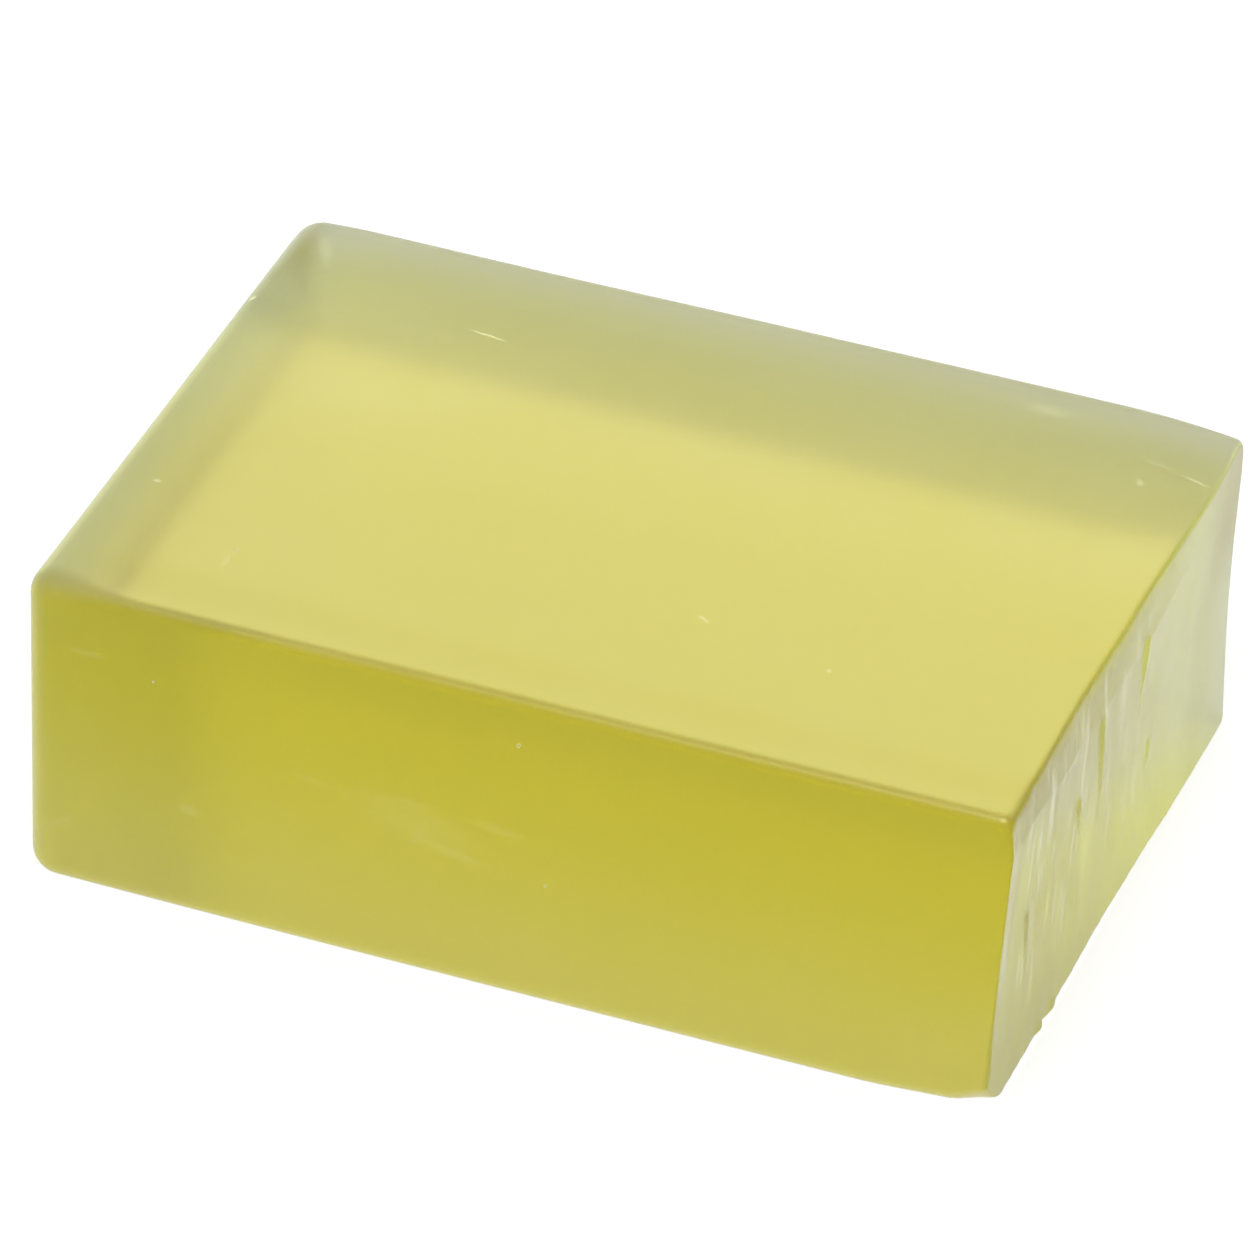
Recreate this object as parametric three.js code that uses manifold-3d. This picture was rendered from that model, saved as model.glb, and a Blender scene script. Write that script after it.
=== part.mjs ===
// Clay bar: one block of translucent kneading clay, cast in a mould and cut from the casting.
//
// Millimetres, +Z up. The origin is the middle of the underside. X runs along the block, from the
// cast end at -X to the cut end at +X, and the front face looks along -Y.

import * as THREE from 'three';
import { RoundedBoxGeometry } from 'three/addons/geometries/RoundedBoxGeometry.js';
import { mergeVertices } from 'three/addons/utils/BufferGeometryUtils.js';
import Module from 'manifold-3d';

// Driving dimensions of the block.
const LENGTH = 90; // from the cast end to the furthest point of the cut
const WIDTH = 64.5;
const HEIGHT = 32.5;
const EDGE_RADIUS = 2.8; // the mould rounds every cast edge by this much
const EDGE_SEGMENTS = 7; // facets across one rounded edge

// The blade came down a little out of square, so the foot of the cut is set back under its top.
const CUT_LEAN_DEG = 1;

const OFFCUT = 30; // length of the casting beyond the cut
const CUTTER_SIZE = 200; // larger than the casting in every direction

const CLAY = new THREE.MeshStandardMaterial({
  color: 0xd8d076,
  roughness: 0.35,
  metalness: 0,
  transparent: true,
  opacity: 0.85,
});

const wasm = await Module();
wasm.setup();

// A closed three.js geometry as a manifold-3d solid, after its transform is applied.
function toSolid(geometry, transform) {
  const shape = geometry.clone().applyMatrix4(transform);
  shape.deleteAttribute('normal');
  shape.deleteAttribute('uv');
  const merged = mergeVertices(shape, 1e-5);
  return new wasm.Manifold(new wasm.Mesh({
    numProp: 3,
    vertProperties: new Float32Array(merged.attributes.position.array),
    triVerts: new Uint32Array(merged.index.array),
  }));
}

// A manifold-3d solid as a three.js geometry.
function toGeometry(solid) {
  const mesh = solid.getMesh();
  const geometry = new THREE.BufferGeometry();
  geometry.setAttribute('position', new THREE.BufferAttribute(mesh.vertProperties, 3));
  geometry.setIndex(new THREE.BufferAttribute(mesh.triVerts, 1));
  geometry.computeVertexNormals();
  return geometry;
}

// The casting as it leaves the mould: rounded on all its edges and longer than the bar.
function casting() {
  const length = LENGTH + OFFCUT;
  const geometry = new RoundedBoxGeometry(length, WIDTH, HEIGHT, EDGE_SEGMENTS, EDGE_RADIUS);
  const place = new THREE.Matrix4().makeTranslation(OFFCUT / 2, 0, HEIGHT / 2);
  return toSolid(geometry, place);
}

// Everything beyond the blade: a large box whose near side leans about the cut's top edge.
function beyondTheCut() {
  const geometry = new THREE.BoxGeometry(CUTTER_SIZE, CUTTER_SIZE, CUTTER_SIZE);
  const place = new THREE.Matrix4()
    .makeTranslation(LENGTH / 2, 0, HEIGHT)
    .multiply(new THREE.Matrix4().makeRotationY(THREE.MathUtils.degToRad(CUT_LEAN_DEG)))
    .multiply(new THREE.Matrix4().makeTranslation(CUTTER_SIZE / 2, 0, 0));
  return toSolid(geometry, place);
}

function clayBlock() {
  const block = new THREE.Mesh(toGeometry(casting().subtract(beyondTheCut())), CLAY);
  block.name = 'clay_block';
  return block;
}

const group = new THREE.Group();
group.add(clayBlock());

export default group;
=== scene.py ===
import math

import bpy
import numpy as np
from mathutils import Matrix, Vector, noise


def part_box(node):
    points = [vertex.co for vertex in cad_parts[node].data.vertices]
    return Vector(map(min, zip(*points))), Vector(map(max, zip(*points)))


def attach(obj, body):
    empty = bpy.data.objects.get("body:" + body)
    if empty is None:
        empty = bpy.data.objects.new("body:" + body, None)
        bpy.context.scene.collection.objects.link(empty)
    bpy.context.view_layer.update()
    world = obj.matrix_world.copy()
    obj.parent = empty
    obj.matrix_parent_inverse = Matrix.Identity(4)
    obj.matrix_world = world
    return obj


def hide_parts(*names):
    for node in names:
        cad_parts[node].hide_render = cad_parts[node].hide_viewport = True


# A clay bar: one cast block of clear yellow putty, rounded on every cast edge and sliced flat at its +X end.
# Lengths are millimetres, measured on the block: x along it, y from front to back, z up from its underside,
# with x and y zero at its middle. Most pairs of numbers are a span: where something starts to change, and
# where it has changed. The studio is in metres and degrees.

MM = 0.001

# Block: radii of its cast edges, and the spacing of the mesh's lines
EDGE_RADIUS = 2.8
FRONT_TOP_RADIUS = 1.2
BACK_FOOT_RADIUS = 0.8
HIDDEN_RADIUS = 1.0
HIDDEN_EDGE_HEIGHTS = (14.0, 26.0)
EDGE_BLEND = 10.0
EDGE_STEPS = 6
STEP_ALONG = 1.3
STEP_ACROSS = 0.32
STEP_UP = 0.36
FINE_END = 7.0
FINE_STEP = 0.35
SHARP_ANGLE = 38

# Cut end: rounding of its rim, and how far from the block's edges the wider roundings reach
RIM_RADIUS = 0.2
RIM_RADIUS_TOP = 0.6
RIM_RADIUS_CORNER = 1.1
RIM_STEPS = 3
RIM_TOP_SPAN = (2.0, 6.0)
RIM_CORNER_SPAN = (1.0, 9.0)
RIM_FOOT_SPAN = (1.0, 4.0)
RIM_FOOT_HEIGHTS = (2.0, 16.0)

# Cut end: how far its face stands out along its top and its foot, each step a change, where it starts and
# where it ends. The top's steps are placed in y, the foot's in shares of the block's width.
CUT_TOP_OUT = 0.3
CUT_TOP_STEPS = ((0.35, -14.0, 0.0), (0.1, 5.0, 20.0), (-0.3, 20.0, 32.0))
CUT_FOOT_OUT = -0.75
CUT_FOOT_STEPS = ((0.3, 0.0, 0.4), (0.95, 0.4, 1.0))
CUT_HOLLOW = 0.4
CUT_HOLLOW_FRONT_SHARE = 0.3

# Cut end: its relief, each as height, wave across and along the blade's path, and seed
FINE_BLADE_GRAIN = (0.012, 1.3, 18.0, 1)
BROAD_BLADE_GRAIN = (0.06, 6.0, 30.0, 2)
CUT_UNEVENNESS = (0.015, 3.0, 3.0, 3)
BURR_GRAIN = (0.05, 0.9, 3.0, 4)
BURR_HEIGHT = 1.6
LEDGE_STEP = 0.3
TORN_HALF_WIDTHS = (0.7, 0.2)  # at the top of a ledge, and at its foot

# Knife entry: how far the blade pressed the top down, and the smoother strip below it
SHOULDER_DROP = 0.8
SHOULDER_WIDTH = 11.0
SHOULDER_HEIGHT = 9.0
SHOULDER_DEEPENS = (0.0, 22.0)
ENTRY_DEPTH_FRONT = 4.0
ENTRY_DEPTH_STEPS = ((1.2, -28.0, -14.0), (3.3, 12.0, 32.0))
ENTRY_LEAN = 0.5
ENTRY_LEAN_LOSS = 0.8
ENTRY_LEAN_SPAN = (0.0, 25.0)

# Slump of the casting: how far its edges lift or drop and its faces bow, and how wide its edge bands are
FRONT_BAND = 5.0
EDGE_BAND = 6.0
LEFT_BAND = 7.0
CORNER_LIFTS = ((0.8, 13.0), (1.6, 4.5))  # lift of the front foot corner, and its reach from the cut
BACK_TOP_LIFT = 0.13
FRONT_TOP_DROP = 0.3
BACK_LEFT_DROP = 0.3
LEFT_BOW = 0.05
FRONT_BELLY = 0.2
BELLY_MIDDLE, BELLY_HALF_LENGTH, BELLY_HEIGHT = -3.0, 40.0, 12.0
SIDE_WAVES, SIDE_WAVE_SIZES = 0.08, (34.0, 30.0, 26.0)
TOP_WAVES, TOP_WAVE_SIZES = 0.07, (26.0, 22.0, 30.0)

# Material
CLAY_IOR = 1.5
ABSORPTION_PER_METRE = (7.1, 9.7, 58.0)
ABSORPTION_DENSITY = 60.0
SPECULAR_TINT = (1.0, 0.97, 0.6)

# Finish of each face: share of the surface under the pale bloom, roughness, and the bloom's colour
TOP_FINISH = (0.04, 0.3, 0.88, 0.88, 0.90)
BOTTOM_FINISH = (0.0, 0.25, 1.0, 1.0, 1.0)
FRONT_FINISH = (0.0, 0.3, 1.0, 1.0, 0.76)
BACK_FINISH = (0.1, 0.8, 0.9, 1.0, 1.0)
# The left face's bloom colour, darker and less red than the other faces', is partly painted shade
LEFT_FINISH = (0.12, 0.3, 0.66, 0.89, 0.79)
RIM_FINISH = (0.0, 0.3, 0.84, 0.9, 0.8)

# Bloom on the top and the front: painted shade that darkens the top toward the back and the left edge, how
# much thicker or thinner the bloom is, and the stretches of x, y or z over which they change
TOP_PAINTED_SHADE = 0.36
TOP_PAINTED_SHADE_SPAN = (10.0, 32.0)
TOP_PAINTED_SHADE_LEFT = (0.35, 0.27, 0.13)
TOP_LEFT_SPAN = (-43.0, -36.0)
TOP_LEFT_LOSS = 0.6
TOP_LEFT_LOSS_SPAN = (14.0, 28.0)
TOP_VEIL = 0.022
TOP_VEIL_STARTS = (-8.0, 10.0)
TOP_VEIL_ENDS = (14.0, 26.0)
TOP_VEIL_LEFT = 0.035
TOP_VEIL_WIDE = 0.015
TOP_VEIL_WIDE_SPAN = (-40.0, -5.0)
TOP_CLEARING = 0.014
FRONT_VEIL = 0.05
FRONT_VEIL_SPAN = (0.0, 26.0)

# Bloom on the cut: colours of its parts, and the painted shade that darkens them at the back and in the
# back top corner
CUT_ROUGH = 0.3
CUT_FILM = (0.65, 0.69, 0.54)
CUT_CLEAR_FILM = (0.84, 0.96, 0.45)
CUT_FRONT_FILM = (0.75, 0.81, 0.17)
CUT_LIP_FILM = (0.74, 0.75, 0.58)
CUT_BACK_PAINTED_SHADE = (0.20, 0.22, 0.38)
CUT_CORNER_PAINTED_SHADE = (0.36, 0.46, 0.72)

# Bloom on the cut: share of the surface under it, and what thickens or thins it
CUT_HAZE = 0.2
STREAK_HAZE = 0.04
FOOT_CLEARING = 0.12
STRIP_HAZE = 0.13
STRIP_HAZE_BACK = 0.05
STRIP_STREAKS = 0.4
STRIP_CLEARING = 0.95
CREASE_HAZE = 0.2
CREASE_WAVER = 0.25
WHITENED_HAZE = 0.2
LIP_WHITENING = 0.7
CLEAR_HAZE = (0.03, 0.12)  # bloom so thin that the clay itself shows, and bloom that hides it
CUT_FACING = (0.80, 0.97)  # x of the surface's normal where the bloom starts, and where it is full
TORN_CLEARING = 0.95
MOST_HAZE = 0.9

# Marks, and the noise that varies the bloom and the roughness
PALE_MARK = (0.86, 0.88, 0.62)
PALE_MARK_TINT = 4.0
DARK_MARK = (0.28, 0.26, 0.05)
DARK_MARK_HAZE = 0.8
MARK_DEPTH = 2.0
MARK_CORE = 0.2
MARK_WAVER = 0.8
MARK_WAVER_SIZE = 0.7
MOTTLE_SIZES = (9.0, 7.0, 7.0)
MOTTLE_OF_HAZE, MOTTLE_OF_ROUGH = 0.5, 0.12
GRAIN_SIZES = (3.0, 0.5, 7.0)
GRAIN_OF_HAZE = 2.2

# Studio: the lens, the sensor and the panel's inset are millimetres
CAMERA_AZIMUTH, CAMERA_ELEVATION, CAMERA_ROLL = 19.22, 35.29, 2.31
CAMERA_DISTANCE = 0.76745
CAMERA_AIM_RIGHT, CAMERA_AIM_UP = -0.00063, 0.0149
CAMERA_LENS, CAMERA_SENSOR = 245.2, 36.0
FLOOR_SIDE, FLOOR_DROP = 3.0, 0.0002
FLOOR_ALBEDO, FLOOR_GLOW = 0.36, 0.55
PANEL_DROP = 0.0001
PANEL_GLOW = 1.0
PANEL_INSET = 0.4
SKY_STRENGTH = 1.0
KEY_AZIMUTH, KEY_ELEVATION, KEY_ON_FLOOR, KEY_SOFTNESS = 10.0, 60.0, 0.67, 30.0


def smooth(value, start, end):
    """0 before start, 1 after end, and an S-curve between."""
    t = np.clip((value - start) / (end - start), 0.0, 1.0)
    return t * t * (3.0 - 2.0 * t)


def near(distance, full, gone):
    """1 while the distance is under full, 0 once it is over gone, and an S-curve between."""
    return 1.0 - smooth(distance, full, gone)


def bell(value, centre, width):
    """1 at the centre, falling to 0 at one width from it."""
    return near(np.abs(value - centre), 0.0, width)


def stepped(value, start, steps):
    """The start value, with each step's change added as value goes from the step's one end to its other."""
    total = start
    for change, begin, end in steps:
        total = total + change * smooth(value, begin, end)
    return total


def ripple(points, sizes, seed):
    """Smooth noise between about -1 and 1, whose waves are sizes long along x, y and z."""
    shift = Vector((seed * 17.3, seed * 5.1, seed * 9.7))
    scaled = points / np.array(sizes)
    return np.array([noise.noise(Vector(p) + shift) for p in scaled])


# ---------------------------------------------------------------- block shape


def stations(low, high, step, round_low=True, round_high=True):
    """Grid lines from low to high, with EDGE_STEPS lines fanned evenly over each rounded edge."""
    fan = EDGE_RADIUS * np.tan(np.radians(45.0) * np.arange(EDGE_STEPS + 1) / EDGE_STEPS)
    start = low + EDGE_RADIUS - fan[::-1] if round_low else np.array([low])
    end = high - EDGE_RADIUS + fan if round_high else np.array([high])
    count = max(1, round((end[0] - start[-1]) / step))
    middle = np.linspace(start[-1], end[0], count + 1)[1:-1]
    return np.concatenate([start, middle, end])


def rim_lines(edge, inward):
    """Extra grid lines fanned over the small rounding of the cut face's rim."""
    fan = 1.0 - np.tan(np.radians(45.0) * np.arange(RIM_STEPS) / RIM_STEPS)
    return edge + inward * RIM_RADIUS_TOP * fan


def box_skin(xs, ys, zs):
    """Points, quads and each quad's face name for a closed grid over the six faces of a box."""
    nx, ny, nz = len(xs) - 1, len(ys) - 1, len(zs) - 1
    number, points, quads, names = {}, [], [], []

    def corner(key):
        if key not in number:
            number[key] = len(points)
            i, j, k = key
            points.append((xs[i], ys[j], zs[k]))
        return number[key]

    def sheet(name, place, across, up, flip):
        for u in range(across):
            for v in range(up):
                ring = [place(u, v), place(u + 1, v), place(u + 1, v + 1), place(u, v + 1)]
                if flip:
                    ring.reverse()
                quads.append([corner(key) for key in ring])
                names.append(name)

    sheet("bottom", lambda u, v: (u, v, 0), nx, ny, True)
    sheet("top", lambda u, v: (u, v, nz), nx, ny, False)
    sheet("front", lambda u, v: (u, 0, v), nx, nz, False)
    sheet("back", lambda u, v: (u, ny, v), nx, nz, True)
    sheet("left", lambda u, v: (0, u, v), ny, nz, True)
    sheet("cut", lambda u, v: (nx, u, v), ny, nz, False)
    return np.array(points), np.array(quads), np.array(names)


def edge_radius(points, low, high):
    """Radius of the cast edges near each point, with the tighter edges blended in.

    They are the front top edge, the back foot edge, and the left foot and low back left edges, which the
    camera sees only through the clay.
    """
    x, y, z = points.T
    at_front = near(y - low[1], EDGE_RADIUS, EDGE_BLEND)
    at_back = near(high[1] - y, EDGE_RADIUS, EDGE_BLEND)
    at_top = near(high[2] - z, EDGE_RADIUS, EDGE_BLEND)
    at_foot = near(z - low[2], EDGE_RADIUS, EDGE_BLEND)
    at_left = near(x - low[0], EDGE_RADIUS, EDGE_BLEND)
    tighter = (EDGE_RADIUS - FRONT_TOP_RADIUS) * at_front * at_top
    tighter += (EDGE_RADIUS - BACK_FOOT_RADIUS) * at_back * at_foot
    hidden = np.maximum(at_foot, at_back * near(z - low[2], *HIDDEN_EDGE_HEIGHTS))
    hidden *= at_left * (1.0 - at_front)
    return EDGE_RADIUS - tighter * (1.0 - at_left) - (EDGE_RADIUS - HIDDEN_RADIUS) * hidden


def narrowed(values, low, high, radius):
    """Squeezes the grid's edge bands along one axis from EDGE_RADIUS to the radius wanted at each point."""
    from_low = values - low
    from_high = high - values
    depth = np.minimum(from_low, from_high)
    beyond = depth - (EDGE_RADIUS - radius) * near(depth, EDGE_RADIUS, EDGE_RADIUS + EDGE_BLEND)
    depth = np.where(depth <= EDGE_RADIUS, depth * radius / EDGE_RADIUS, beyond)
    return np.where(from_low < from_high, low + depth, high - depth)


def rim_radius(points, low, high):
    """Rounding of the cut rim: small, wider along the top and at the front foot, widest at the front top."""
    from_front = points[:, 1] - low[1]
    at_top = near(high[2] - points[:, 2], *RIM_TOP_SPAN)
    at_corner = at_top * near(from_front, *RIM_CORNER_SPAN)
    at_foot = near(points[:, 2] - low[2], *RIM_FOOT_HEIGHTS) * near(from_front, *RIM_FOOT_SPAN)
    radius = RIM_RADIUS + (RIM_RADIUS_TOP - RIM_RADIUS) * np.maximum(at_top, at_foot)
    return radius + (RIM_RADIUS_CORNER - RIM_RADIUS_TOP) * at_corner


def rounded(points, low, high):
    """Rolls the grid's cast edges and corners onto their radius, and the rim of the cut face onto its own."""
    points = points.copy()
    radius = edge_radius(points, low, high)
    rim = rim_radius(points, low, high)
    for axis in (1, 2):
        points[:, axis] = narrowed(points[:, axis], low[axis], high[axis], radius)
    in_left_half = points[:, 0] < 0.5 * (low[0] + high[0])
    points[:, 0] = np.where(in_left_half, narrowed(points[:, 0], low[0], high[0], radius), points[:, 0])
    inner_low = low + radius[:, None]
    inner_high = high - radius[:, None]
    inner_high[:, 0] = high[0]
    inner = np.clip(points, inner_low, inner_high)
    reach = points - inner
    longest = np.abs(reach).max(axis=1)
    length = np.maximum(np.linalg.norm(reach, axis=1), 1e-9)
    to_end = np.maximum(rim - (high[0] - points[:, 0]), 0.0)
    to_side = np.maximum(rim - (radius - longest), 0.0)
    roll = np.maximum(to_end, to_side) / np.maximum(np.hypot(to_end, to_side), 1e-9)
    roll = np.where(to_end > 0.0, roll, 1.0)
    result = inner + reach * ((longest + to_side * (roll - 1.0)) / length)[:, None]
    result[:, 0] += to_end * (roll - 1.0)
    return result


def knife_ledges(y, z):
    """Ledges where the clay tore beside the blade: how far each stands out, and where its torn face shows."""
    ledges = (
        # top y, top z, foot y, foot z, height, how far behind it the face takes to level out
        (3.7, 27.4, 4.4, 19.3, 0.26, 7.0),
        (-8.2, 26.5, -4.9, 13.8, 0.24, 3.5),
        (-12.4, 20.8, -11.0, 16.4, 0.18, 2.0),
        (8.2, 13.4, 9.0, 9.4, 0.16, 2.5),
        (-25.6, 18.0, -24.0, 10.0, 0.15, 2.0),
    )
    torn_top, torn_foot = TORN_HALF_WIDTHS
    height_out = np.zeros_like(y)
    torn = np.zeros_like(y)
    for top_y, top_z, foot_y, foot_z, height, tail in ledges:
        down = (top_z - z) / (top_z - foot_z)
        along = np.clip(down, 0.0, 1.0)
        behind = y - top_y - (foot_y - top_y) * along
        fade = smooth(down, -0.12, 0.06) * near(down, 0.2, 1.0)
        height_out += height * fade * smooth(behind, -LEDGE_STEP, LEDGE_STEP) * near(behind, LEDGE_STEP, tail)
        shown = smooth(down, -0.06, 0.0) * near(down, 0.8, 1.1)
        half = torn_top + (torn_foot - torn_top) * along
        torn = np.maximum(torn, shown * near(np.abs(behind), 0.6 * half, half))
    return height_out, torn


def entry_depth(y):
    """Height of the entry strip, from the top down to its crease."""
    return stepped(y, ENTRY_DEPTH_FRONT, ENTRY_DEPTH_STEPS)


def cut_grain(y, z, across, along, seed):
    """Noise over the sliced face, drawn out along the blade's path."""
    return ripple(np.stack([np.zeros_like(y), y, z], axis=1), (1.0, across, along), seed)


def relief(y, z, height, across, along, seed):
    """Grain of a given height on the sliced face."""
    return height * cut_grain(y, z, across, along, seed)


def cut_offset(y, z, width, height):
    """How far the sliced face stands out at (y, z): a twisted plane, hollowed, with the blade's marks."""
    burrs = (
        # how far it stands out, y, half width
        (0.22, -14.6, 1.4),
        (-0.2, -16.7, 0.8),
        (0.22, -17.9, 1.2),
    )
    back = y / width + 0.5
    up = z / height
    top = stepped(y, CUT_TOP_OUT, CUT_TOP_STEPS)
    foot = stepped(back, CUT_FOOT_OUT, CUT_FOOT_STEPS)
    offset = foot + (top - foot) * up
    hollow_share = CUT_HOLLOW_FRONT_SHARE + (1.0 - CUT_HOLLOW_FRONT_SHARE) * back
    offset -= CUT_HOLLOW * np.sin(np.pi * up) * hollow_share
    depth = entry_depth(y)
    strip = np.clip((z - height + depth) / depth, 0.0, 1.0)
    offset -= ENTRY_LEAN * strip * (1.0 - ENTRY_LEAN_LOSS * smooth(y, *ENTRY_LEAN_SPAN))
    below = near(strip, 0.0, 0.12)
    offset += below * relief(y, z, *FINE_BLADE_GRAIN)
    offset += below * relief(y, z, *BROAD_BLADE_GRAIN)
    offset += relief(y, z, *CUT_UNEVENNESS)
    offset += knife_ledges(y, z)[0]
    at_foot = near(z, 0.0, BURR_HEIGHT)
    for stands_out, burr_y, half_width in burrs:
        offset += at_foot * stands_out * bell(y, burr_y, half_width)
    offset += at_foot * relief(y, z, *BURR_GRAIN)
    return offset


def slumped(points, low, high):
    """The casting's own unevenness: bowed faces, edges that droop or lift beside the cut."""
    x, y, z = points.T.copy()
    beside_cut = high[0] - x
    near_front = near(y - low[1], 0.0, FRONT_BAND)
    near_back = near(high[1] - y, 0.0, EDGE_BAND)
    near_top = near(high[2] - z, 0.0, EDGE_BAND)
    near_foot = near(z, 0.0, EDGE_BAND)
    near_left = near(x - low[0], 0.0, LEFT_BAND)
    for lift, reach in CORNER_LIFTS:
        points[:, 2] += lift * near(beside_cut, 0.0, reach) * near_front * near_foot
    shoulder = np.clip(1.0 - beside_cut / SHOULDER_WIDTH, 0.0, 1.0) ** 2
    shoulder *= smooth(y, *SHOULDER_DEEPENS) * near(high[2] - z, 0.0, SHOULDER_HEIGHT)
    points[:, 2] -= SHOULDER_DROP * shoulder
    points[:, 2] += BACK_TOP_LIFT * smooth(x, -20.0, 5.0) * near_back * near_top
    front_top = near(y - low[1], 1.0, 7.0) * near_top * smooth(x - low[0], 2.0, 8.0)
    points[:, 2] -= FRONT_TOP_DROP * front_top
    points[:, 2] -= BACK_LEFT_DROP * near_left * near_back * near_top
    bow = 1.0 - (2.0 * y / (high[1] - low[1])) ** 2
    points[:, 0] += LEFT_BOW * bow * near_left
    belly = np.clip(1.0 - ((x - BELLY_MIDDLE) / BELLY_HALF_LENGTH) ** 2, 0.0, 1.0)
    points[:, 1] -= FRONT_BELLY * belly * near_front * near(z, 0.0, BELLY_HEIGHT)
    side_wave = ripple(points, SIDE_WAVE_SIZES, 5)
    points[:, 1] += SIDE_WAVES * side_wave * np.sign(y) * smooth(np.abs(y), 20.0, 32.0)
    top_wave = ripple(points, TOP_WAVE_SIZES, 6)
    points[:, 2] += TOP_WAVES * top_wave * smooth(z, 20.0, 32.0)
    return points


def mesh_lines(low, high, step):
    """Grid lines over the whole width or height, with both rounded edges and both rims."""
    lines = np.concatenate([stations(low, high, step), rim_lines(low, 1.0), rim_lines(high, -1.0)])
    return np.unique(np.round(lines, 4))


def block_surface(low, high):
    """Points, quads and face names of the finished block, in millimetres."""
    fine = np.arange(high[0] - FINE_END + FINE_STEP, high[0] + FINE_STEP / 2, FINE_STEP)
    coarse = stations(low[0], high[0] - FINE_END, STEP_ALONG, True, False)
    xs = np.unique(np.round(np.concatenate([coarse, fine, rim_lines(high[0], -1.0)]), 4))
    ys = mesh_lines(low[1], high[1], STEP_ACROSS)
    zs = mesh_lines(low[2], high[2], STEP_UP)
    points, quads, names = box_skin(xs, ys, zs)
    points = rounded(points, low, high)
    stretch = smooth(points[:, 0], high[0] - FINE_END, high[0])
    offset = cut_offset(points[:, 1], points[:, 2], high[1] - low[1], high[2] - low[2])
    points[:, 0] += offset * stretch
    return slumped(points, low, high), quads, names


# ---------------------------------------------------------------- surface finish and painted shade, as mesh attributes


def cut_whitening(y, z):
    """Whitened clay: the lip where the blade came in, and torn wisps over the front half of the cut."""
    lip = near(y, -31.2, -28.6) * smooth(z, 8.0, 15.0)
    wisps = smooth(cut_grain(y, z, 0.8, 5.0, 15) + 0.6 * cut_grain(y, z, 3.0, 7.0, 16), 0.05, 0.65)
    wisps *= near(y, -6.0, 16.0) * smooth(z, 2.0, 14.0)
    return np.maximum(LIP_WHITENING * lip, wisps)


def cut_haze(y, z, height):
    """Share of bloom over the sliced face: thin on the entry strip, none on torn ledges, thick on smears."""
    smears = (
        # y, z, half width, half height, extra haze
        (-9.0, 14.0, 2.2, 5.0, 0.16),
        (-19.0, 13.8, 0.8, 2.5, 0.20),
        (-26.2, 13.4, 0.7, 4.0, 0.16),
        (-27.5, 24.0, 3.0, 5.5, 0.16),
        (-22.0, 22.0, 4.0, 5.0, 0.08),
        (14.0, 20.0, 3.0, 8.0, 0.05),
    )
    depth = entry_depth(y)
    above_crease = z - height + depth + CREASE_WAVER * cut_grain(y, z, 1.2, 4.0, 11)
    streaks = STREAK_HAZE * (cut_grain(y, z, 1.6, 14.0, 12) + cut_grain(y, z, 4.5, 8.0, 13))
    haze = CUT_HAZE + streaks
    haze -= FOOT_CLEARING * near(z + 0.25 * (y + 32.0), 2.0, 16.0)
    strip_haze = STRIP_HAZE + STRIP_HAZE_BACK * smooth(y, -25.0, 16.0) + STRIP_STREAKS * streaks
    strip_top = smooth(above_crease / depth, 0.5, 0.9) * near(y, 6.0, 20.0)
    strip_haze *= 1.0 - STRIP_CLEARING * strip_top
    haze += (strip_haze - haze) * smooth(above_crease, -0.3, 0.3)
    broken = smooth(cut_grain(y, z, 2.0, 3.0, 14), -0.4, 0.6)
    haze += CREASE_HAZE * bell(above_crease, -0.2, 0.4) * broken
    haze += WHITENED_HAZE * cut_whitening(y, z)
    for smear_y, smear_z, half_width, half_height, extra in smears:
        reach = np.hypot((y - smear_y) / half_width, (z - smear_z) / half_height)
        haze += extra * near(reach, 0.2, 1.1)
    torn = knife_ledges(y, z)[1]
    return np.clip(haze * (1.0 - TORN_CLEARING * torn), 0.0, MOST_HAZE)


def cast_finish(points, normals):
    """Finish of the cast faces: each face's own, blended over the rounded edges as they turn.

    Painted shade darkens the top's bloom colour toward the back and along the left edge.
    """
    toward_faces = (
        (BOTTOM_FINISH, -normals[:, 2]),
        (TOP_FINISH, normals[:, 2]),
        (FRONT_FINISH, -normals[:, 1]),
        (BACK_FINISH, normals[:, 1]),
        (LEFT_FINISH, -normals[:, 0]),
        (RIM_FINISH, normals[:, 0]),
    )
    finish = np.zeros((len(normals), 5))
    for face_finish, toward in toward_faces:
        finish += np.maximum(toward, 0.0)[:, None] ** 2 * np.array(face_finish)
    x, y, z = points.T
    on_top = np.maximum(normals[:, 2], 0.0) ** 2
    at_back = on_top * smooth(y, *TOP_VEIL_ENDS)
    at_left = on_top * near(x, *TOP_LEFT_SPAN) * (1.0 - TOP_LEFT_LOSS * smooth(y, *TOP_LEFT_LOSS_SPAN))
    # Painted shade: the top's bloom colour darkens toward the back, and near the left edge, less so at its
    # back
    finish[:, 2:] *= (1.0 - TOP_PAINTED_SHADE * on_top * smooth(y, *TOP_PAINTED_SHADE_SPAN))[:, None]
    finish[:, 2:] *= 1.0 - at_left[:, None] * np.array(TOP_PAINTED_SHADE_LEFT)
    finish[:, 0] += TOP_VEIL_LEFT * at_left
    finish[:, 0] += TOP_VEIL_WIDE * on_top * near(x, *TOP_VEIL_WIDE_SPAN)
    finish[:, 0] += TOP_VEIL * (on_top - at_back) * smooth(y, *TOP_VEIL_STARTS)
    finish[:, 0] -= TOP_CLEARING * at_back
    on_front = np.maximum(-normals[:, 1], 0.0) ** 2
    finish[:, 0] += FRONT_VEIL * on_front * near(z, *FRONT_VEIL_SPAN)
    return finish


def mixed(colours, other, share):
    """Row by row, colours taken toward one other colour by share."""
    return colours + (np.array(other) - colours) * share[:, None]


def darkened(colours, loss, share):
    """Row by row, colours that lose up to a given part of each channel, by share."""
    return colours * (1.0 - share[:, None] * np.array(loss))


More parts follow.
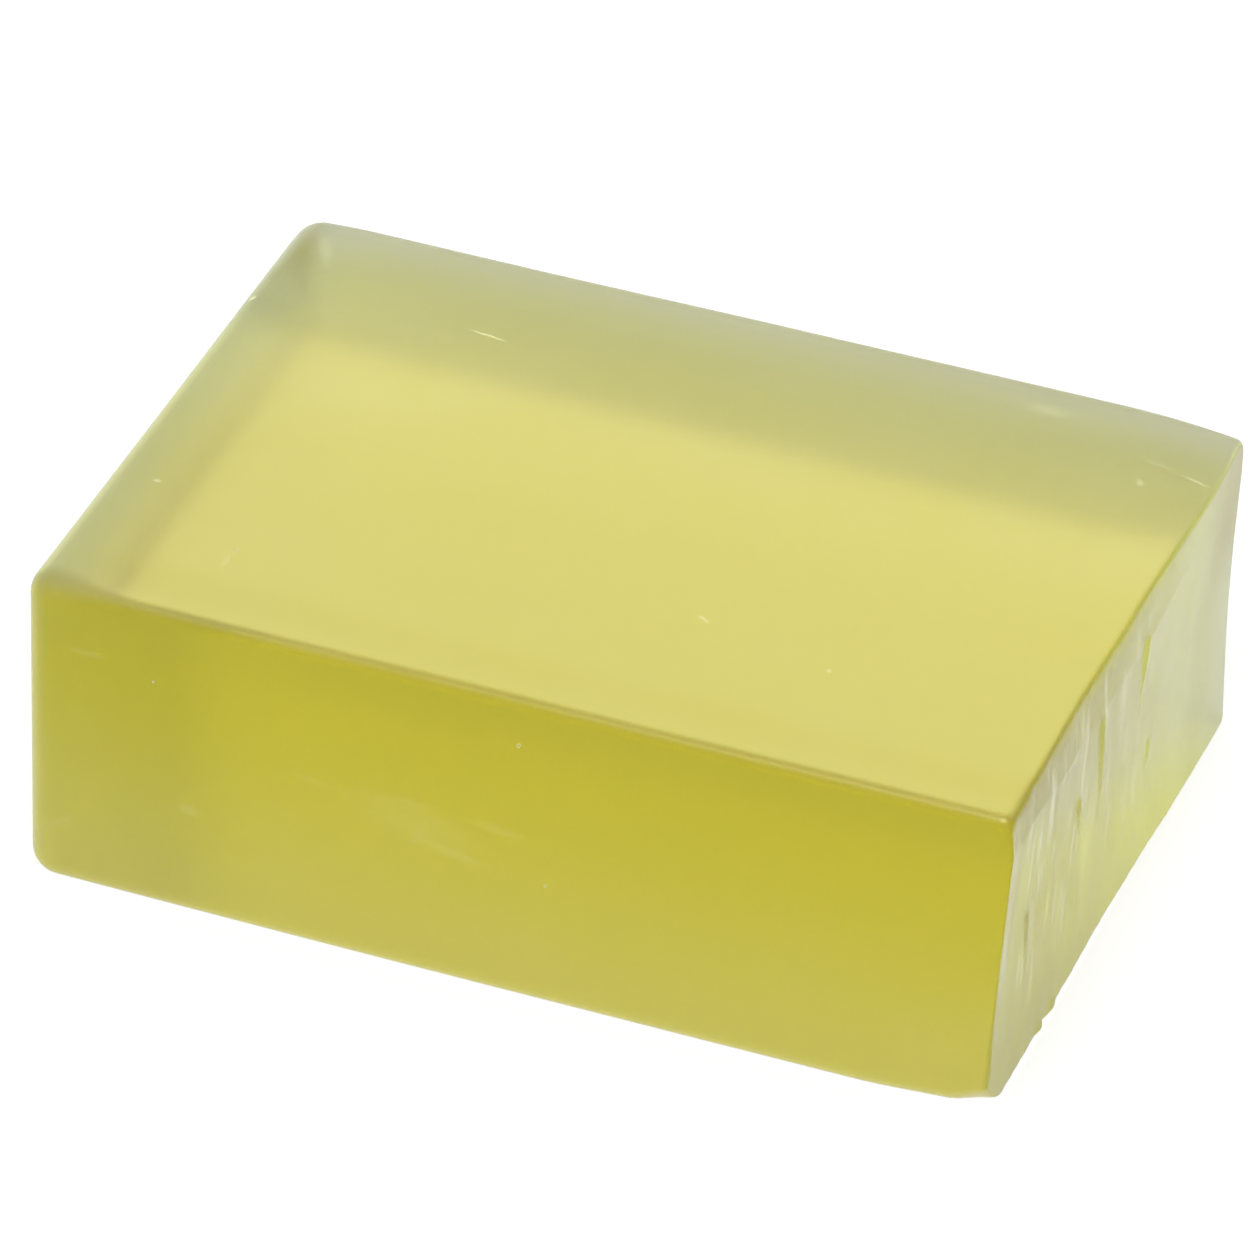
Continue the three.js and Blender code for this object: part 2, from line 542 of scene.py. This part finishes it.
def cut_finish(points, normals, height):
    """Finish of the sliced face: its bloom ends where the rim and the torn ledges turn away.

    Painted shade darkens its bloom colour at the back, and more in the back top corner.
    """
    y, z = points[:, 1], points[:, 2]
    haze = cut_haze(y, z, height) * smooth(normals[:, 0], *CUT_FACING)
    film_and_shade = np.tile(CUT_FRONT_FILM, (len(y), 1))
    film_and_shade = mixed(film_and_shade, CUT_FILM, smooth(y + 2.0 * (z - 16.0), -14.0, 6.0))
    film_and_shade = mixed(film_and_shade, CUT_LIP_FILM, cut_whitening(y, z))
    # Painted shade: the cut's bloom colour darkens toward the back, and more in the back top corner
    film_and_shade = darkened(film_and_shade, CUT_BACK_PAINTED_SHADE, smooth(y, 16.0, 24.0))
    film_and_shade = darkened(film_and_shade, CUT_CORNER_PAINTED_SHADE, smooth(y, 20.0, 28.0) * smooth(z, 12.0, 24.0))
    film_and_shade = mixed(film_and_shade, CUT_CLEAR_FILM, near(haze, *CLEAR_HAZE))
    rough = np.full(len(y), CUT_ROUGH)
    return np.concatenate([haze[:, None], rough[:, None], film_and_shade], axis=1)


def write_finish(mesh, points, quads, names, height):
    """Stores haze, roughness, bloom colour and where the cut's grain shows on the mesh, corner by corner.

    The bloom colour carries the painted shade of the top and the cut.
    """
    normals = np.zeros((len(points), 3))
    mesh.vertices.foreach_get("normal", normals.reshape(-1))
    corner_point = quads.reshape(-1)
    finish = cast_finish(points, normals)[corner_point]
    on_cut = np.repeat(names, 4) == "cut"
    finish[on_cut] = cut_finish(points, normals, height)[corner_point[on_cut]]
    layers = {"haze": finish[:, 0], "rough": finish[:, 1], "grain": on_cut.astype(float)}
    for label, values in layers.items():
        layer = mesh.attributes.new(label, "FLOAT", "CORNER")
        layer.data.foreach_set("value", values.astype(np.float32))
    # The bloom colour, with the painted shade of the top and the cut in it
    film_and_shade = np.concatenate([finish[:, 2:], np.ones((len(finish), 1))], axis=1)
    layer = mesh.attributes.new("film_and_shade", "FLOAT_COLOR", "CORNER")
    layer.data.foreach_set("color", film_and_shade.astype(np.float32).reshape(-1))


# ---------------------------------------------------------------- clay material


class Graph:
    """Short calls for adding nodes to a material."""

    def __init__(self, name):
        self.material = bpy.data.materials.new(name)
        self.material.use_nodes = True
        self.tree = self.material.node_tree
        self.surface = self.tree.nodes["Principled BSDF"]
        self.output = self.tree.nodes["Material Output"]
        self.coordinates = None
        self.shifted = None

    def add(self, kind, **settings):
        node = self.tree.nodes.new(kind)
        for key, value in settings.items():
            setattr(node, key, value)
        return node

    def link(self, source, target):
        self.tree.links.new(source, target)

    def math(self, operation, first, second):
        node = self.add("ShaderNodeMath", operation=operation)
        for socket, value in zip(node.inputs, (first, second)):
            if isinstance(value, (int, float)):
                socket.default_value = value
            else:
                self.link(value, socket)
        return node.outputs[0]

    def varied(self, noise_socket, share):
        """1 on average, varied by the noise by half the share either way."""
        return self.math("ADD", 1.0 - share / 2, self.math("MULTIPLY", noise_socket, share))

    def strongest(self, sockets):
        """The highest of several values."""
        highest = sockets[0]
        for socket in sockets[1:]:
            highest = self.math("MAXIMUM", highest, socket)
        return highest

    def blend(self, share, first, second):
        """A colour running from the first, a socket, to the second, fixed, as share goes from 0 to 1."""
        node = self.add("ShaderNodeMix", data_type="RGBA")
        self.link(share, node.inputs["Factor"])
        self.link(first, node.inputs[6])
        node.inputs[7].default_value = (*second, 1.0)
        return node.outputs[2]

    def spot(self, centre, half, turn_y, turn_z):
        """1 in the middle of a turned ellipsoid, fading to 0 at its wavering border; millimetres, degrees."""
        mapping = self.add("ShaderNodeMapping", vector_type="TEXTURE")
        mapping.inputs["Location"].default_value = [value * MM for value in centre]
        mapping.inputs["Rotation"].default_value = (0.0, math.radians(turn_y), math.radians(turn_z))
        mapping.inputs["Scale"].default_value = [value * MM for value in half]
        self.link(self.wavering(), mapping.inputs["Vector"])
        reach = self.add("ShaderNodeVectorMath", operation="LENGTH")
        self.link(mapping.outputs[0], reach.inputs[0])
        fade = self.add("ShaderNodeMapRange", interpolation_type="SMOOTHSTEP")
        self.link(reach.outputs["Value"], fade.inputs["Value"])
        fade.inputs["From Min"].default_value = 1.0
        fade.inputs["From Max"].default_value = MARK_CORE
        return fade.outputs["Result"]

    def wavering(self):
        """Position on the block, shifted by fine noise so that marks get uneven borders."""
        if self.shifted is None:
            node = self.add("ShaderNodeTexNoise")
            node.inputs["Scale"].default_value = MARK_WAVER_SIZE / MM
            self.link(self.place(), node.inputs["Vector"])
            centred = self.add("ShaderNodeVectorMath", operation="SUBTRACT")
            self.link(node.outputs["Color"], centred.inputs[0])
            centred.inputs[1].default_value = (0.5, 0.5, 0.5)
            small = self.add("ShaderNodeVectorMath", operation="SCALE")
            self.link(centred.outputs[0], small.inputs[0])
            small.inputs["Scale"].default_value = MARK_WAVER * MM
            moved = self.add("ShaderNodeVectorMath", operation="ADD")
            self.link(self.place(), moved.inputs[0])
            self.link(small.outputs[0], moved.inputs[1])
            self.shifted = moved.outputs[0]
        return self.shifted

    def attribute(self, name, output="Fac"):
        return self.add("ShaderNodeAttribute", attribute_name=name).outputs[output]

    def place(self):
        """Position on the block in metres."""
        if self.coordinates is None:
            self.coordinates = self.add("ShaderNodeTexCoord").outputs["Object"]
        return self.coordinates

    def noise(self, sizes, detail=2.0):
        """Noise between 0 and 1, whose waves are sizes millimetres long along x, y and z."""
        mapping = self.add("ShaderNodeMapping")
        mapping.inputs["Scale"].default_value = [1.0 / (size * MM) for size in sizes]
        self.link(self.place(), mapping.inputs["Vector"])
        node = self.add("ShaderNodeTexNoise")
        node.inputs["Scale"].default_value = 1.0
        node.inputs["Detail"].default_value = detail
        self.link(mapping.outputs[0], node.inputs["Vector"])
        return node.outputs["Fac"]


def pale_marks(g, front, top):
    """Strength of the pale scuffs, scratches and smears at each point of the surface."""
    on_front = (
        # x, z; half size along x and z; turn about y; strength
        (-8.6, 16.8, 8.5, 3.2, 12.0, 0.022),
        (-9.5, 18.6, 4.5, 0.7, -4.0, 0.03),
        (-5.0, 14.6, 4.5, 0.8, 12.0, 0.03),
        (-7.9, 15.6, 0.9, 1.8, 25.0, 0.04),
        (-17.6, 18.4, 3.5, 0.5, 9.0, 0.02),
        (-0.6, 18.2, 3.8, 0.7, 4.0, 0.022),
        (-38.8, 26.0, 2.0, 0.5, -4.0, 0.03),
        (-41.4, 7.3, 2.8, 0.6, -35.0, 0.025),
        (-29.2, 12.0, 1.4, 1.0, 0.0, 0.04),
    )
    on_top = (
        # x, y, depth below the top; half size along x and y; turn about z; strength
        (-21.6, 18.45, 0.0, 2.3, 0.25, -8.0, 0.30),
        (43.8, 22.4, 0.5, 1.8, 0.35, -4.0, 0.14),
        (39.8, 23.2, 0.2, 1.4, 0.5, 0.0, 0.06),
        (39.3, 19.6, 0.2, 0.5, 0.9, 20.0, 0.12),
        (28.5, 27.0, 0.0, 3.5, 1.2, 0.0, 0.08),
        (-43.5, 16.3, 1.0, 0.6, 0.6, 0.0, 0.5),
        (11.3, -15.2, 0.0, 0.9, 0.35, -35.0, 0.14),
        (-29.6, -23.4, 0.0, 0.3, 1.9, 8.0, 0.06),
        (-39.8, -14.3, 0.0, 0.5, 0.4, 0.0, 0.14),
        (23.8, -18.2, 0.0, 0.4, 0.4, 0.0, 0.12),
        (-40.3, 25.5, 0.5, 1.0, 3.5, 25.0, 0.08),
    )
    marks = []
    for x, z, half_x, half_z, turn, strength in on_front:
        spot = g.spot((x, front, z), (half_x, MARK_DEPTH, half_z), turn, 0.0)
        marks.append(g.math("MULTIPLY", spot, strength))
    for x, y, depth, half_x, half_y, turn, strength in on_top:
        spot = g.spot((x, y, top - depth), (half_x, half_y, MARK_DEPTH), 0.0, turn)
        marks.append(g.math("MULTIPLY", spot, strength))
    return g.strongest(marks)


def dark_marks(g, front, top):
    """Where the few dark specks sit."""
    specks = (
        # centre, radius
        ((1.05, front, 27.6), 0.3),
        ((-32.5, front, 24.7), 0.25),
        ((3.8, front, 13.4), 0.22),
        ((-29.4, -21.6, top), 0.25),
    )
    return g.strongest([g.spot(centre, (radius, radius, radius), 0.0, 0.0) for centre, radius in specks])


def clay_material(front, top):
    """One refracting body that absorbs light inside, under a patchy bloom with marks.

    The bloom colour carries painted shade.
    """
    g = Graph("clear_yellow_clay")
    mottle = g.noise(MOTTLE_SIZES)
    fine = g.noise(GRAIN_SIZES)
    grain = g.math("MULTIPLY", g.attribute("grain"), g.math("SUBTRACT", fine, 0.5))
    patchy = g.math("ADD", g.varied(mottle, MOTTLE_OF_HAZE), g.math("MULTIPLY", grain, GRAIN_OF_HAZE))
    pale = pale_marks(g, front, top)
    dark = dark_marks(g, front, top)
    haze = g.math("MULTIPLY", g.attribute("haze"), patchy)
    haze = g.math("ADD", haze, g.math("MULTIPLY", pale, g.varied(fine, 1.0)))
    haze = g.math("MAXIMUM", haze, g.math("MULTIPLY", dark, DARK_MARK_HAZE))
    g.link(g.math("SUBTRACT", 1.0, haze), g.surface.inputs["Transmission Weight"])
    rough = g.math("MULTIPLY", g.attribute("rough"), g.varied(mottle, MOTTLE_OF_ROUGH))
    g.link(rough, g.surface.inputs["Roughness"])
    # Base colour: the bloom colour with its painted shade, paled by the marks and darkened by the specks
    paled = g.blend(g.math("MULTIPLY", pale, PALE_MARK_TINT), g.attribute("film_and_shade", "Color"), PALE_MARK)
    g.link(g.blend(dark, paled, DARK_MARK), g.surface.inputs["Base Color"])
    g.surface.inputs["IOR"].default_value = CLAY_IOR
    g.surface.inputs["Specular Tint"].default_value = (*SPECULAR_TINT, 1.0)
    volume = g.add("ShaderNodeVolumeAbsorption")
    passed = [1.0 - k / ABSORPTION_DENSITY for k in ABSORPTION_PER_METRE]
    volume.inputs["Color"].default_value = (*passed, 1.0)
    volume.inputs["Density"].default_value = ABSORPTION_DENSITY
    g.link(volume.outputs[0], g.output.inputs["Volume"])
    return g.material


def clay_bar():
    """The finished bar, in the space of the CAD block."""
    low_corner, high_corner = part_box("clay_block")
    low = np.array(low_corner) / MM
    high = np.array(high_corner) / MM
    points, quads, names = block_surface(low, high)
    mesh = bpy.data.meshes.new("clay_bar")
    mesh.from_pydata((points * MM).tolist(), [], quads.tolist())
    mesh.update()
    mesh.shade_smooth()
    mesh.set_sharp_from_angle(angle=math.radians(SHARP_ANGLE))
    write_finish(mesh, points, quads, names, high[2])
    mesh.materials.append(clay_material(low[1], high[2]))
    bar = bpy.data.objects.new("clay_bar", mesh)
    bpy.context.scene.collection.objects.link(bar)
    return bar


# ---------------------------------------------------------------- studio


def toward(azimuth, elevation):
    """Direction from the block to something seen at this azimuth and elevation."""
    a, e = math.radians(azimuth), math.radians(elevation)
    return Vector((math.sin(a) * math.cos(e), -math.cos(a) * math.cos(e), math.sin(e)))


def camera():
    """The photograph's viewpoint: a long lens, aimed a little off the block's middle and rolled a little."""
    away = toward(CAMERA_AZIMUTH, CAMERA_ELEVATION)
    level = Vector((0.0, 0.0, 1.0)).cross(away).normalized()
    upward = away.cross(level)
    roll = math.radians(CAMERA_ROLL)
    right = math.cos(roll) * level + math.sin(roll) * upward
    up = -math.sin(roll) * level + math.cos(roll) * upward
    data = bpy.data.cameras.new("camera")
    data.sensor_width = CAMERA_SENSOR
    data.lens = CAMERA_LENS
    shot = bpy.data.objects.new("camera", data)
    matrix = Matrix((right, up, away)).transposed().to_4x4()
    matrix.translation = away * CAMERA_DISTANCE + level * CAMERA_AIM_RIGHT + upward * CAMERA_AIM_UP
    shot.matrix_world = matrix
    bpy.context.scene.collection.objects.link(shot)
    bpy.context.scene.camera = shot


def flat_sheet(name, low, high, height, material):
    """A level rectangle of the studio, between two opposite corners."""
    mesh = bpy.data.meshes.new(name)
    corners = [(low[0], low[1]), (high[0], low[1]), (high[0], high[1]), (low[0], high[1])]
    mesh.from_pydata([(x, y, height) for x, y in corners], [], [(0, 1, 2, 3)])
    mesh.materials.append(material)
    sheet = bpy.data.objects.new(name, mesh)
    bpy.context.scene.collection.objects.link(sheet)


def matte_white(name, albedo, glow):
    """A matte material that also glows white."""
    g = Graph(name)
    g.surface.inputs["Base Color"].default_value = (albedo, albedo, albedo, 1.0)
    g.surface.inputs["Roughness"].default_value = 1.0
    g.surface.inputs["Specular IOR Level"].default_value = 0.0
    g.surface.inputs["Emission Color"].default_value = (1.0, 1.0, 1.0, 1.0)
    g.surface.inputs["Emission Strength"].default_value = glow
    return g.material


def studio():
    """Pale floor with a small light panel under the bar, white sky and one broad soft key light."""
    half = FLOOR_SIDE / 2
    floor_finish = matte_white("pale_floor", FLOOR_ALBEDO, FLOOR_GLOW)
    flat_sheet("floor", (-half, -half), (half, half), -FLOOR_DROP, floor_finish)
    low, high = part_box("clay_block")
    inset = PANEL_INSET * MM
    panel_low = (low.x + inset, low.y + inset)
    panel_high = (high.x - inset, high.y - inset)
    panel_finish = matte_white("light_panel", 0.0, PANEL_GLOW)
    flat_sheet("light_panel", panel_low, panel_high, -PANEL_DROP, panel_finish)
    world = bpy.data.worlds.new("sky")
    world.use_nodes = True
    sky = world.node_tree.nodes["Background"]
    sky.inputs["Color"].default_value = (1.0, 1.0, 1.0, 1.0)
    sky.inputs["Strength"].default_value = SKY_STRENGTH
    bpy.context.scene.world = world
    key = bpy.data.lights.new("key", "SUN")
    key.energy = math.pi * KEY_ON_FLOOR / math.sin(math.radians(KEY_ELEVATION))
    key.angle = math.radians(KEY_SOFTNESS)
    lamp = bpy.data.objects.new("key", key)
    lamp.visible_glossy = False
    lamp.rotation_euler = toward(KEY_AZIMUTH, KEY_ELEVATION).to_track_quat("Z", "Y").to_euler()
    bpy.context.scene.collection.objects.link(lamp)
    bpy.context.scene.view_settings.view_transform = "Standard"


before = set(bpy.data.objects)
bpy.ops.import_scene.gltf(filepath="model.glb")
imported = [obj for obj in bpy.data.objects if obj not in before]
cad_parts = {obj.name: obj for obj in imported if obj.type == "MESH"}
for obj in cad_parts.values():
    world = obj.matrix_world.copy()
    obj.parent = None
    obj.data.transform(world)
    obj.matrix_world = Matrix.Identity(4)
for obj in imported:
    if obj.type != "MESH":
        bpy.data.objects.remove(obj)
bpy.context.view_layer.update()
camera()
studio()
bar = clay_bar()
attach(bar, "root")
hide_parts("clay_block")
